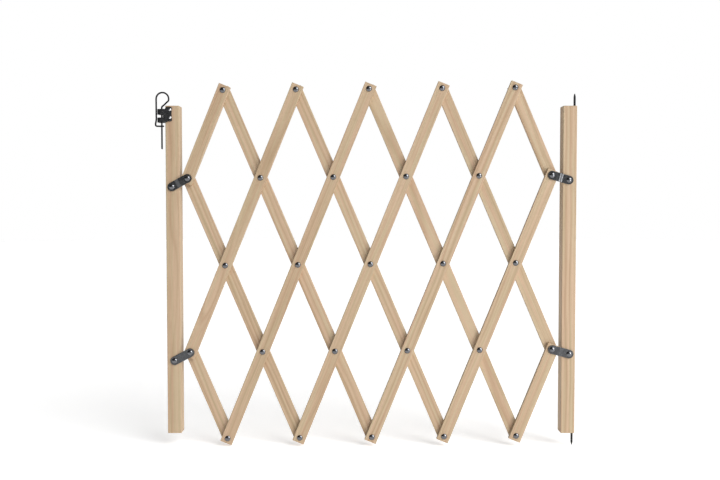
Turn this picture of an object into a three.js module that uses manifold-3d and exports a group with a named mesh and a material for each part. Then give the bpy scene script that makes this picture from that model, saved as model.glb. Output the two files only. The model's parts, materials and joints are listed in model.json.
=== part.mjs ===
// An expanding scissor-lattice safety gate for a doorway or the head of a stair.
// Fourteen beech slats cross in two layers and turn on rivets, so the lattice folds and
// opens sideways. Cranked steel straps carry it between two square posts. The right post
// turns on two steel pins, and the left post carries a bracket with a wire latch pin.
//
// Millimetres, +Z up, front face towards -Y. The origin is on the hinge pins' axis, level
// with the foot of the posts.

import * as THREE from 'three';
import { mergeVertices } from 'three/addons/utils/BufferGeometryUtils.js';
import Module from 'manifold-3d';

// ---- driving dimensions -------------------------------------------------------------

const RAD = Math.PI / 180;

// lattice
const PIVOT_SPACING = 217;              // along every slat, rivet to rivet
const HALF_ANGLE = 22.6 * RAD;          // of a slat from upright, with the gate as drawn
const LATTICE_TILT = 0.5 * RAD;         // how far off level the lattice hangs in its straps
const LATTICE_CENTRE_Z = 392.3;
const HALF_ROWS = 2;                    // rivet rows above and below the middle one
const HALF_COLUMNS = 5;                 // half pitches from the middle out to a strap
const SLATS_PER_LAYER = 7;
const SLAT_WIDTH = 28;
const SLAT_THICKNESS = 10;
const FRONT_OVERHANG = 12;              // of a front slat past its last rivet
const BACK_OVERHANG = 6.5;
const LAYER_GAP = 0.3;
const LATTICE_PROUD = 3;                // front slats stand this far before the posts

// posts
const POST_WIDTH = 32;
const POST_DEPTH = 31;
const POST_HEIGHT = 755;
const POST_EDGE = 1.2;                  // eased edge
const HINGE_FROM_SIDE = 5;              // pin axis from the right post's outer face
const HINGE_FROM_FRONT = 6;

// hinge pins
const HINGE_PIN_R = 2.5;
const HINGE_PIN_OUT = 28;
const HINGE_PIN_IN = 32;
const HINGE_PIN_TIP = 7;                // length of the tapered point

// straps
const STRAP_WIDTH = 20;
const STRAP_THICKNESS = 2;
const STRAP_HOLES = 41;                 // hole to hole
const RIGHT_CRANK_START = 20;           // of the front face, from the lattice hole
const LEFT_CRANK_START = 23.4;          // further out, clear of the folding slat ends
const STRAP_CRANK_RUN = 5;
const STRAP_CRANK_BACK = 0.9;           // the back face bends this much sooner
const LEFT_STRAP_ANGLE = 28 * RAD;      // post end below level
const RIGHT_STRAP_ANGLE = 15.5 * RAD;
const OPEN_HOLE_R = 7.9;                // wide hole of the lower straps, at the lattice end

// rivets and screws
const SHANK_R = 2.6;
const HOLE_R = 3.0;
const HEAD_R = 6.65;
const HEAD_HEIGHT = 3.3;
const TAIL_R = 5.4;
const TAIL_HEIGHT = 2.2;
const SCREW_DEPTH = 22;

// latch bracket and its screws
const PLATE_THICKNESS = 2;
const PLATE_TOP = -3;                   // below the post's top
const PLATE_BOTTOM = -36;
const PLATE_RIGHT = 15.9;               // from the post's outer face
const PLATE_CORNER_R = 3.5;
const PLATE_WAIST = 1.1;                // hollow of its right edge between the screws
const BARREL_R = 9;
const BARREL_WALL = 2;
const BARREL_FROM_POST = 9.3;
const BARREL_ROLL = 292 * RAD;          // how far the strip is rolled round
const UPPER_BARREL = [-20, -7.5];
const LOWER_BARREL = [-38, -27];
const LATCH_SCREW_X = 11.8;
const LATCH_SCREW_Z = [-9.4, -27.5];
const LATCH_SCREW_HEAD_R = 3.3;
const LATCH_SCREW_HEAD = 2.2;
const LATCH_SCREW_R = 1.6;
const LATCH_SCREW_DEPTH = 16;

// wire latch pin, measured from the barrels' axis and the post's top
const WIRE_R = 1.9;
const STEM_TIP = -99;
const STEM_BEND = -3;
const LOOP_CENTRE = [1.7, 16.2];
const LOOP_R = 14.3;
const LOOP_END = -18 * RAD;
const LEG_BEND = -30;                   // the leg turns forward below here
const CLASP_Z = -47.5;
const CLASP_Y = -11.6;                  // the clasp lies before the barrels
const CLASP_CORNER = 5;
const CLASP_END = 8.2;

// details of the solids
const GAP = 0.3;                        // between pieces that touch
const ROUND = 12;                       // sides of a turned piece
const STRAP_CURVE_SEGMENTS = 8;
const BARREL_CURVE_SEGMENTS = 20;
const WIRE_STEPS = 96;
const SCREW_POINT = 4;                  // length of a screw's point
const PIN_TIP_ROUNDING = 0.8;           // of a hinge pin's point

// ---- materials ----------------------------------------------------------------------

const beech = new THREE.MeshStandardMaterial({ color: '#cdb292', roughness: 0.62, metalness: 0 });
const zincBlack = new THREE.MeshStandardMaterial({ color: '#4a4b4e', roughness: 0.38, metalness: 0.85 });
const wireBlack = new THREE.MeshStandardMaterial({ color: '#2e2e30', roughness: 0.45, metalness: 0.7 });
const rivetSteel = new THREE.MeshStandardMaterial({ color: '#77797c', roughness: 0.26, metalness: 0.95 });

// ---- solid helpers ------------------------------------------------------------------

const wasm = await Module();
wasm.setup();

function toSolid(geometry) {
  const bare = geometry.clone();
  bare.deleteAttribute('normal');
  bare.deleteAttribute('uv');
  const merged = mergeVertices(bare, 1e-4);
  return new wasm.Manifold(new wasm.Mesh({
    numProp: 3,
    vertProperties: new Float32Array(merged.attributes.position.array),
    triVerts: new Uint32Array(merged.index.array),
  }));
}

function toGeometry(solid) {
  const mesh = solid.getMesh();
  const geometry = new THREE.BufferGeometry();
  geometry.setAttribute('position', new THREE.BufferAttribute(mesh.vertProperties, 3));
  geometry.setIndex(new THREE.BufferAttribute(mesh.triVerts, 1));
  return geometry;
}

// a flat outline in X and Z, made solid from yBack forward to yFront
function slab(shape, yFront, yBack, curveSegments = 6) {
  const depth = yBack - yFront;
  const geometry = new THREE.ExtrudeGeometry(shape, { depth, bevelEnabled: false, curveSegments });
  return geometry.rotateX(Math.PI / 2).translate(0, yBack, 0);
}

function roundHole(x, z, radius) {
  const hole = new THREE.Path();
  hole.setFromPoints(circlePoints(x, z, radius));
  return hole;
}

function circlePoints(x, z, radius) {
  return Array.from({ length: ROUND }, (_, i) => {
    const a = (i / ROUND) * 2 * Math.PI;
    return new THREE.Vector2(x + radius * Math.cos(a), z + radius * Math.sin(a));
  });
}

// a turned piece on the Y axis; profile is [radius, y] pairs in order of rising y
function turned(profile, sides = ROUND) {
  const points = profile.map(([r, y]) => new THREE.Vector2(r, y));
  return new THREE.LatheGeometry(points, sides);
}

// a domed head before the origin, then a shank that runs back along +Y to its tail
function domedPin(headR, headHeight, shankR, length, tail) {
  const profile = [
    [0, -headHeight],
    [headR * 0.5, -headHeight * 0.87],
    [headR * 0.87, -headHeight * 0.5],
    [headR, 0],
    [shankR, 0],
    ...tail(length),
  ];
  return turned(profile);
}

const rivetTail = (length) => [
  [SHANK_R, length],
  [TAIL_R, length],
  [TAIL_R * 0.8, length + TAIL_HEIGHT * 0.7],
  [0, length + TAIL_HEIGHT],
];

const screwPoint = (shankR) => (length) => [
  [shankR, length - SCREW_POINT],
  [0, length],
];

function piece(name, geometry, material, x = 0, y = 0, z = 0) {
  const mesh = new THREE.Mesh(geometry, material);
  mesh.name = name;
  mesh.position.set(x, y, z);
  return mesh;
}

// ---- places worked out from the driving dimensions ----------------------------------

const postFront = -HINGE_FROM_FRONT;
const slatFront = postFront - LATTICE_PROUD;
const slatMiddle = slatFront + SLAT_THICKNESS;
const slatBack = slatMiddle + LAYER_GAP + SLAT_THICKNESS;

const halfWidth = PIVOT_SPACING * Math.sin(HALF_ANGLE);
const halfHeight = PIVOT_SPACING * Math.cos(HALF_ANGLE);

// a lattice node (u, v) counts half pitches right and up from the lattice's middle
function offCentre(u, v) {
  const x = u * halfWidth;
  const z = v * halfHeight;
  const c = Math.cos(LATTICE_TILT);
  const s = Math.sin(LATTICE_TILT);
  return [x * c - z * s, x * s + z * c];
}

const rightPostX = HINGE_FROM_SIDE - POST_WIDTH / 2;
const strapReachRight = STRAP_HOLES * Math.cos(RIGHT_STRAP_ANGLE);
const strapReachLeft = STRAP_HOLES * Math.cos(LEFT_STRAP_ANGLE);
const endNodeX = offCentre(HALF_COLUMNS, 0)[0];       // mean of a side's two strap nodes
const latticeCentreX = rightPostX - strapReachRight - endNodeX;
const leftPostX = latticeCentreX - endNodeX - strapReachLeft;

function nodePlace(u, v) {
  const [x, z] = offCentre(u, v);
  return [latticeCentreX + x, LATTICE_CENTRE_Z + z];
}

// every second half pitch carries a rivet; the strap rows reach half a pitch further out
function nodesOnSlat(layer, index) {
  const offset = 2 * index - (SLATS_PER_LAYER + 1);
  const nodes = [];
  for (let v = -HALF_ROWS; v <= HALF_ROWS; v += 1) {
    const u = layer === 'front' ? offset + v : offset - v;
    const reach = v % 2 === 0 ? HALF_COLUMNS - 1 : HALF_COLUMNS;
    if (Math.abs(u) <= reach) nodes.push([u, v]);
  }
  return nodes;
}

// ---- slats --------------------------------------------------------------------------

// built upright about its middle, then turned to its slope
function slat(layer, index) {
  const nodes = nodesOnSlat(layer, index);
  const run = (nodes.length - 1) * PIVOT_SPACING;
  const halfLength = run / 2 + (layer === 'front' ? FRONT_OVERHANG : BACK_OVERHANG);
  const shape = new THREE.Shape();
  shape.moveTo(-SLAT_WIDTH / 2, -halfLength);
  shape.lineTo(SLAT_WIDTH / 2, -halfLength);
  shape.lineTo(SLAT_WIDTH / 2, halfLength);
  shape.lineTo(-SLAT_WIDTH / 2, halfLength);
  for (let i = 0; i < nodes.length; i += 1) {
    shape.holes.push(roundHole(0, i * PIVOT_SPACING - run / 2, HOLE_R));
  }
  const yFront = layer === 'front' ? slatFront : slatMiddle + LAYER_GAP;
  const mesh = piece(`slat_${layer}_${index}`, slab(shape, yFront, yFront + SLAT_THICKNESS), beech);
  const first = nodePlace(...nodes[0]);
  const last = nodePlace(...nodes[nodes.length - 1]);
  const lean = layer === 'front' ? HALF_ANGLE : -HALF_ANGLE;
  mesh.position.set((first[0] + last[0]) / 2, 0, (first[1] + last[1]) / 2);
  mesh.rotation.y = lean - LATTICE_TILT;
  return mesh;
}

// ---- straps -------------------------------------------------------------------------

// drawn from the lattice hole at the origin out along +X, then turned and placed; side is
// +1 at the right post and -1 at the left post
function strap(side, openHole) {
  const halfStrap = STRAP_WIDTH / 2;
  const crank = new THREE.Shape();
  const front = slatFront - GAP - STRAP_THICKNESS;
  const reach = STRAP_HOLES + halfStrap;
  const crankStart = side > 0 ? RIGHT_CRANK_START : LEFT_CRANK_START;
  const crankEnd = crankStart + STRAP_CRANK_RUN;
  crank.moveTo(-halfStrap, front);
  crank.lineTo(crankStart, front);
  crank.lineTo(crankEnd, front + LATTICE_PROUD);
  crank.lineTo(reach, front + LATTICE_PROUD);
  crank.lineTo(reach, front + LATTICE_PROUD + STRAP_THICKNESS);
  crank.lineTo(crankEnd - STRAP_CRANK_BACK, front + LATTICE_PROUD + STRAP_THICKNESS);
  crank.lineTo(crankStart - STRAP_CRANK_BACK, front + STRAP_THICKNESS);
  crank.lineTo(-halfStrap, front + STRAP_THICKNESS);
  const bar = new THREE.ExtrudeGeometry(crank, { depth: STRAP_WIDTH, bevelEnabled: false });
  bar.translate(0, 0, -halfStrap);

  const outline = new THREE.Shape();
  outline.absarc(0, 0, halfStrap, Math.PI / 2, Math.PI * 1.5, false);
  outline.absarc(STRAP_HOLES, 0, halfStrap, -Math.PI / 2, Math.PI / 2, false);
  outline.holes.push(roundHole(0, 0, openHole ? OPEN_HOLE_R : HOLE_R));
  outline.holes.push(roundHole(STRAP_HOLES, 0, HOLE_R));
  const margin = 1;
  const rounded = slab(
    outline, front - margin, front + LATTICE_PROUD + STRAP_THICKNESS + margin, STRAP_CURVE_SEGMENTS);

  const angle = side > 0 ? RIGHT_STRAP_ANGLE : Math.PI - LEFT_STRAP_ANGLE;
  return toGeometry(toSolid(bar).intersect(toSolid(rounded))).rotateY(angle);
}

const STRAPS = [
  { side: 1, row: 1, name: 'right_upper' },
  { side: 1, row: -1, name: 'right_lower' },
  { side: -1, row: 1, name: 'left_upper' },
  { side: -1, row: -1, name: 'left_lower' },
];

function strapScrewPlace({ side, row }) {
  const [x, z] = nodePlace(side * HALF_COLUMNS, row);
  const angle = side > 0 ? RIGHT_STRAP_ANGLE : LEFT_STRAP_ANGLE;
  return [x + side * STRAP_HOLES * Math.cos(angle), z - STRAP_HOLES * Math.sin(angle)];
}

const latticeDepth = slatBack - slatFront;
const rivetGeometry = domedPin(HEAD_R, HEAD_HEIGHT, SHANK_R, latticeDepth + 2 * GAP, rivetTail);
const strapRivetGeometry = domedPin(
  HEAD_R, HEAD_HEIGHT, SHANK_R, latticeDepth + STRAP_THICKNESS + 3 * GAP, rivetTail);
const strapScrewGeometry = domedPin(HEAD_R, HEAD_HEIGHT, SHANK_R, SCREW_DEPTH, screwPoint(SHANK_R));

const strapRivetHead = slatFront - STRAP_THICKNESS - 2 * GAP;
const strapScrewHead = postFront - STRAP_THICKNESS - 2 * GAP;

// ---- posts --------------------------------------------------------------------------

function drill(x, y, z, radius, depth, axis) {
  const bit = new THREE.CylinderGeometry(radius, radius, depth, ROUND);
  if (axis === 'z') bit.rotateX(Math.PI / 2);
  return toSolid(bit.translate(x, y, z));
}

function post(x, screws, more = []) {
  const half = POST_WIDTH / 2;
  const section = new THREE.Shape();
  section.moveTo(-half + POST_EDGE, 0);
  section.lineTo(half - POST_EDGE, 0);
  section.lineTo(half, POST_EDGE);
  section.lineTo(half, POST_DEPTH - POST_EDGE);
  section.lineTo(half - POST_EDGE, POST_DEPTH);
  section.lineTo(-half + POST_EDGE, POST_DEPTH);
  section.lineTo(-half, POST_DEPTH - POST_EDGE);
  section.lineTo(-half, POST_EDGE);
  const geometry = new THREE.ExtrudeGeometry(section, { depth: POST_HEIGHT, bevelEnabled: false });
  let solid = toSolid(geometry.translate(x, postFront, 0));
  for (const [sx, sz] of screws) {
    solid = solid.subtract(drill(sx, postFront, sz, HOLE_R, 2 * SCREW_DEPTH, 'y'));
  }
  for (const hole of more) solid = solid.subtract(hole);
  return toGeometry(solid);
}

// ---- hinge pins ---------------------------------------------------------------------

// point upward, with the post's end face at z = 0
function hingePin() {
  const profile = [
    [0, -HINGE_PIN_IN],
    [HINGE_PIN_R, -HINGE_PIN_IN],
    [HINGE_PIN_R, HINGE_PIN_OUT - HINGE_PIN_TIP],
    [HINGE_PIN_R * 0.36, HINGE_PIN_OUT - PIN_TIP_ROUNDING],
    [0, HINGE_PIN_OUT],
  ];
  return turned(profile).rotateX(Math.PI / 2);
}

const hingeHoles = [0, POST_HEIGHT].map(
  (z) => drill(0, 0, z, HOLE_R, 2 * (HINGE_PIN_IN + GAP), 'z'));

// ---- latch --------------------------------------------------------------------------

const postSide = leftPostX - POST_WIDTH / 2;
const plateFront = postFront - GAP - PLATE_THICKNESS;
const barrelX = postSide - BARREL_FROM_POST;
const barrelY = plateFront + BARREL_R;

// plan outline of one rolled barrel with the strip that joins it to the plate
function barrel([bottom, top]) {
  const inner = BARREL_R - BARREL_WALL;
  const start = -Math.PI / 2;
  const end = start - BARREL_ROLL;
  const plan = new THREE.Shape();
  plan.moveTo(PLATE_CORNER_R + BARREL_FROM_POST, -BARREL_R);
  plan.absarc(0, 0, BARREL_R, start, end, true);
  plan.absarc(0, 0, inner, end, start, false);
  plan.lineTo(PLATE_CORNER_R + BARREL_FROM_POST, -inner);
  const geometry = new THREE.ExtrudeGeometry(plan, {
    depth: top - bottom, bevelEnabled: false, curveSegments: BARREL_CURVE_SEGMENTS,
  });
  return toSolid(geometry.translate(barrelX, barrelY, POST_HEIGHT + bottom));
}

function latchPlate() {
  const r = PLATE_CORNER_R;
  const right = PLATE_RIGHT;
  const mid = (PLATE_TOP + PLATE_BOTTOM) / 2;
  const shape = new THREE.Shape();
  shape.moveTo(0, PLATE_BOTTOM);
  shape.lineTo(right - r, PLATE_BOTTOM);
  shape.absarc(right - r, PLATE_BOTTOM + r, r, -Math.PI / 2, 0, false);
  shape.quadraticCurveTo(right - PLATE_WAIST * 2, mid, right, PLATE_TOP - r);
  shape.absarc(right - r, PLATE_TOP - r, r, 0, Math.PI / 2, false);
  shape.lineTo(r, PLATE_TOP);
  shape.lineTo(0, PLATE_TOP - r);
  for (const z of LATCH_SCREW_Z) shape.holes.push(roundHole(LATCH_SCREW_X, z, LATCH_SCREW_R + GAP));
  const plate = slab(shape, plateFront, plateFront + PLATE_THICKNESS);
  return toSolid(plate.translate(postSide, 0, POST_HEIGHT));
}

const latchBracket = toGeometry(latchPlate().add(barrel(UPPER_BARREL)).add(barrel(LOWER_BARREL)));

const latchScrew = domedPin(
  LATCH_SCREW_HEAD_R, LATCH_SCREW_HEAD, LATCH_SCREW_R,
  LATCH_SCREW_DEPTH, screwPoint(LATCH_SCREW_R));

// one bent wire: straight stem, round finger loop, a leg down past the barrels and a clasp
function latchWirePath() {
  const [cx, cz] = LOOP_CENTRE;
  const legX = cx - LOOP_R;
  const points = [];
  const add = (x, y, z) => points.push(new THREE.Vector3(x, y, z));
  const stemSteps = 16;
  for (let i = 0; i < stemSteps; i += 1) {
    add(0, 0, STEM_TIP + (STEM_BEND - STEM_TIP) * (i / stemSteps));
  }
  add(0.6, 0, STEM_BEND + 1);
  const endX = cx + LOOP_R * Math.cos(LOOP_END);
  const endZ = cz + LOOP_R * Math.sin(LOOP_END);
  for (const t of [0.3, 0.55, 0.8]) add(endX * t, 0, STEM_BEND + (endZ - STEM_BEND) * t);
  const loopSteps = 14;
  for (let i = 0; i <= loopSteps; i += 1) {
    const a = LOOP_END + (Math.PI - LOOP_END) * (i / loopSteps);
    add(cx + LOOP_R * Math.cos(a), 0, cz + LOOP_R * Math.sin(a));
  }
  const legSteps = 5;
  for (let i = 1; i <= legSteps; i += 1) add(legX, 0, cz + (LEG_BEND - cz) * (i / legSteps));
  // the leg swings forward clear of the barrels, then turns across in front of them
  add(legX + 0.1, CLASP_Y * 0.35, LEG_BEND - 7);
  add(legX + 0.6, CLASP_Y * 0.82, CLASP_Z + CLASP_CORNER);
  add(legX + 2, CLASP_Y * 0.98, CLASP_Z + 1);
  const claspStart = legX + CLASP_CORNER;
  for (const t of [0.25, 0.5, 0.75, 1]) {
    add(claspStart + (CLASP_END - claspStart) * t, CLASP_Y, CLASP_Z);
  }
  return new THREE.CatmullRomCurve3(points, false, 'centripetal');
}

function latchPin() {
  const section = new THREE.Shape(circlePoints(0, 0, WIRE_R));
  return new THREE.ExtrudeGeometry(section, {
    steps: WIRE_STEPS, bevelEnabled: false, extrudePath: latchWirePath(),
  });
}

// ---- the gate -----------------------------------------------------------------------

const gate = new THREE.Group();

const rightScrews = STRAPS.filter((s) => s.side > 0).map(strapScrewPlace);
const leftScrews = STRAPS.filter((s) => s.side < 0).map(strapScrewPlace);

const rightEnd = new THREE.Group();
rightEnd.add(piece('right_post', post(rightPostX, rightScrews, hingeHoles), beech));
rightEnd.add(piece('upper_hinge_pin', hingePin(), wireBlack, 0, 0, POST_HEIGHT));
rightEnd.add(piece('lower_hinge_pin', hingePin().rotateX(Math.PI), wireBlack));
gate.add(rightEnd);

const latchScrewHoles = LATCH_SCREW_Z.map((z) => drill(
  postSide + LATCH_SCREW_X, postFront, POST_HEIGHT + z,
  LATCH_SCREW_R + GAP, 2 * LATCH_SCREW_DEPTH, 'y'));
const leftEnd = new THREE.Group();
leftEnd.add(piece('left_post', post(leftPostX, leftScrews, latchScrewHoles), beech));
leftEnd.add(piece('latch_bracket', latchBracket, zincBlack));
LATCH_SCREW_Z.forEach((z, i) => {
  const name = i === 0 ? 'latch_screw_upper' : 'latch_screw_lower';
  leftEnd.add(piece(
    name, latchScrew, rivetSteel, postSide + LATCH_SCREW_X, plateFront - GAP, POST_HEIGHT + z));
});
leftEnd.add(piece('latch_pin', latchPin(), wireBlack, barrelX, barrelY, POST_HEIGHT));
gate.add(leftEnd);

const lattice = new THREE.Group();
for (let index = 1; index <= SLATS_PER_LAYER; index += 1) {
  lattice.add(slat('front', index));
  lattice.add(slat('back', index));
}
// rivets are numbered along each row, the rows from the top down
for (let v = HALF_ROWS; v >= -HALF_ROWS; v -= 1) {
  const reach = v % 2 === 0 ? HALF_COLUMNS - 1 : HALF_COLUMNS - 2;
  for (let u = -reach; u <= reach; u += 2) {
    const [x, z] = nodePlace(u, v);
    const name = `rivet_row${HALF_ROWS - v + 1}_${(u + reach) / 2 + 1}`;
    lattice.add(piece(name, rivetGeometry, rivetSteel, x, slatFront - GAP, z));
  }
}
gate.add(lattice);

const straps = new THREE.Group();
for (const spec of STRAPS) {
  const [x, z] = nodePlace(spec.side * HALF_COLUMNS, spec.row);
  const [screwX, screwZ] = strapScrewPlace(spec);
  straps.add(piece(`${spec.name}_strap`, strap(spec.side, spec.row < 0), zincBlack, x, 0, z));
  straps.add(piece(`${spec.name}_strap_rivet`, strapRivetGeometry, rivetSteel, x, strapRivetHead, z));
  straps.add(piece(
    `${spec.name}_strap_screw`, strapScrewGeometry, rivetSteel, screwX, strapScrewHead, screwZ));
}
gate.add(straps);

export default gate;
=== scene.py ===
"""An expanding beech lattice gate, made ready for close views around its solid frame.

Millimetre sizes are turned to metres by MM. +Z is up and the front faces -Y.
"""

import json
import math
import random

import bmesh
import bpy
import numpy as np
from mathutils import Matrix, Vector


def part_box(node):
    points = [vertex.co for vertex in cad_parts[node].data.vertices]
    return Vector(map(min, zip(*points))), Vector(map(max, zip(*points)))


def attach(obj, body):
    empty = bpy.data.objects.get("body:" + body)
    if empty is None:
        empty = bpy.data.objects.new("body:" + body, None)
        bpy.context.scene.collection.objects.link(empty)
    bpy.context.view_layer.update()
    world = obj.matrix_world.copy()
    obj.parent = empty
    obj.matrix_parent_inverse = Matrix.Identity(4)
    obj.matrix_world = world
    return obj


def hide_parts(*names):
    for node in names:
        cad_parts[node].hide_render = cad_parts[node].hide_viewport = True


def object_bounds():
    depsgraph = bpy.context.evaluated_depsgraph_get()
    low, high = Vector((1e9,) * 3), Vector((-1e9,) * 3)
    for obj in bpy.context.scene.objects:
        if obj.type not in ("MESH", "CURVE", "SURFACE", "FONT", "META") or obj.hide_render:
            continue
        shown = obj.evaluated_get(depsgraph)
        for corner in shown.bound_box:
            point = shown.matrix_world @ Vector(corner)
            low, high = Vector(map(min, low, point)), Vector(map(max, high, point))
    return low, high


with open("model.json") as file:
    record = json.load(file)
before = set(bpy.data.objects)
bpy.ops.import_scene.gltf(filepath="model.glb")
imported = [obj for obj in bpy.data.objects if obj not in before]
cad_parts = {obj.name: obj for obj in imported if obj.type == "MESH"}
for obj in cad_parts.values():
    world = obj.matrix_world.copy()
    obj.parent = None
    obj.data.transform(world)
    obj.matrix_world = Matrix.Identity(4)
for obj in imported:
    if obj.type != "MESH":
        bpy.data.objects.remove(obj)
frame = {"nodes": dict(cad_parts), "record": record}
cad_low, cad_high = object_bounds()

MM = 0.001
SEED = 29
TURN = 2 * math.pi
WELD = 0.002 * MM  # points closer than this become one

# timber
SLAT_EASE = 0.9 * MM  # rounded edge of a slat
POST_EASE = 1.6 * MM
EASE_STEPS = 3
BORE = 3.0 * MM  # hole for a rivet or a strap screw
LATCH_BORE = 1.9 * MM
BIT_SIDES = 32
PIVOT_SPACING = 217 * MM
PITH_NEAR, PITH_FAR = 45 * MM, 120 * MM  # how far a board was cut from the heart of the tree

# rivets and screws
SEAT_GAP = 0.3 * MM  # the solid frame keeps this much under every head
CREEP = 0.02 * MM  # a head is drawn this far off its seat, so that it can turn
HEAD_HEIGHT = 3.3 * MM
HEAD_RADIUS = 6.65 * MM
DOME_RIM = 0.14  # height of a head's rim, as a share of the head's
DOME_FULLNESS = math.radians(66)
DOME_STEPS = 10
SHANK_RADIUS = 2.6 * MM
GRIP = 20.6 * MM  # two slats and their gaps
WASHER_RADIUS, WASHER_THICKNESS = 5.4 * MM, 0.7 * MM
TAIL_RADIUS, TAIL_HEIGHT = 4.1 * MM, 1.5 * MM
SCREW_DEPTH = 21.6 * MM
LATCH_HEAD_RADIUS, LATCH_HEAD_HEIGHT = 3.3 * MM, 2.4 * MM
LATCH_HEAD_SOLID = 2.2 * MM  # height of the same head in the solid frame
LATCH_SHANK_RADIUS, LATCH_SCREW_DEPTH = 1.6 * MM, 15.6 * MM
PIN_RADIUS, PIN_OUT, PIN_IN, PIN_POINT = 2.5 * MM, 28 * MM, 31.8 * MM, 7 * MM
PIN_TIP = 0.5  # radius of a hinge pin's rounded tip, as a share of the pin's
TURNED_SIDES = 40
TURNED_CREASE = 50  # degrees; a turned piece keeps sharper edges than this

# straps
STRAP_RADIUS = 10 * MM
STRAP_THICKNESS = 2 * MM
STRAP_EDGE = 0.45 * MM
CRANK_START = {"right": 16.5 * MM, "left": 19.9 * MM}
CRANK_RUN = 10 * MM
CRANK_CUTS = 13

# latch; heights are from the post's top, and X from its outer side
PLATE_EDGE = 0.35 * MM
PLATE_CORNER, PLATE_RIGHT = 3.5 * MM, 15.9 * MM
PLATE_TOP, PLATE_BOTTOM = -3 * MM, -36 * MM
PLATE_WAIST = 1.1 * MM  # hollow of its right edge between the screws
PLATE_CREASE = 60  # degrees
WEB_LEFT, WEB_TOP, WEB_BOTTOM = -4.9 * MM, -8.5 * MM, -35 * MM  # metal between the barrels
BARRELS = ((-20 * MM, -7.5 * MM), (-38 * MM, -27 * MM))  # bottom and top of each
BARREL_RADIUS = 10.2 * MM
BARREL_FROM_POST = 9.3 * MM
BARREL_ROLL = math.radians(292)
LAP, LAP_STEP, LAP_STEPS = 1.5 * MM, 1.6 * MM, 8  # a barrel's strip starts on the plate
PIN_FROM_FRONT = 9 * MM  # stem axis behind the bracket's front
WIRE_RADIUS = 1.88 * MM
WIRE_SIDES = 20
WIRE_STEPS = 6  # between two corners of its course
WIRE_TIP_STEPS = 8

# stage; metres and degrees
FLOOR_RADIUS, FLOOR_DROP, FLOOR_GLOW = 14, 2 * MM, 0.42
KEY_STRENGTH, KEY_SPREAD, KEY_RIGHT, KEY_UP = 2.25, 42, 46, 34
SIDE_PLACE, SIDE_AIM_HEIGHT, SIDE_WIDTH, SIDE_POWER = (0.85, -0.92, 0.34), 0.50, 0.34, 4.2
CAMERA_PLACE, CAMERA_DOWN = (-0.4915, -1.917, 0.517), 2.07
LENS, SENSOR = 41.63, 36

NODE_BODY = {n: b for b, nodes in frame["record"]["behaviour"]["bodies"].items() for n in nodes}

# the kinds of node that are used often
MATH, VECTOR, RANGE = "ShaderNodeMath", "ShaderNodeVectorMath", "ShaderNodeMapRange"
NOISE, STRETCH, MIX = "ShaderNodeTexNoise", "ShaderNodeMapping", "ShaderNodeMix"
RAMP, BUMP, XYZ = "ShaderNodeValToRGB", "ShaderNodeBump", "ShaderNodeCombineXYZ"


# ---- nodes --------------------------------------------------------------------------


def linear(hex_code):
    """An sRGB hex colour as linear red, green, blue and alpha."""
    parts = [int(hex_code[i : i + 2], 16) / 255 for i in (1, 3, 5)]
    return (*[c / 12.92 if c <= 0.04045 else ((c + 0.055) / 1.055) ** 2.4 for c in parts], 1)


def connect(tree, node, links):
    """Gives inputs, by name or in order, a value, an output, or a node's first output."""
    for key, value in links.items() if isinstance(links, dict) else enumerate(links):
        if isinstance(value, bpy.types.Node):
            value = value.outputs[0]
        if isinstance(value, bpy.types.NodeSocket):
            tree.links.new(value, node.inputs[key])
        else:
            node.inputs[key].default_value = value


def add(tree, kind, links=(), **settings):
    """Adds one node with its settings and links."""
    node = tree.nodes.new(kind)
    for key, value in settings.items():
        setattr(node, key, value)
    connect(tree, node, links)
    return node


# ---- materials ----------------------------------------------------------------------


def new_material(name):
    material = bpy.data.materials.new(name)
    material.use_nodes = True
    material.node_tree.nodes.clear()
    return material, material.node_tree


def show(tree, looks):
    """Ends a material's tree with one surface that has these looks."""
    surface = add(tree, "ShaderNodeBsdfPrincipled", looks)
    add(tree, "ShaderNodeOutputMaterial", {"Surface": surface})


def own_millimetres(tree):
    """A piece's own coordinates, in millimetres."""
    place = add(tree, "ShaderNodeTexCoord").outputs["Object"]
    return add(tree, VECTOR, {0: place, "Scale": 1000}, operation="SCALE")


def stretched_noise(tree, place, size_mm, detail, roughness=0.5):
    """Noise whose blotches measure size_mm in X, Y and Z; place is in millimetres."""
    spread = add(tree, STRETCH, {"Vector": place, "Scale": [1 / s for s in size_mm]})
    return add(tree, NOISE, {
        "Vector": spread, "Scale": 1, "Detail": detail, "Roughness": roughness})


def tinted(ramp, *stops):
    """Gives a ramp its positions and colours."""
    points = ramp.color_ramp.elements
    while len(points) < len(stops):
        points.new(0.5)
    for point, (position, colour) in zip(points, stops):
        point.position, point.color = position, linear(colour)
    return ramp


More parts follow.
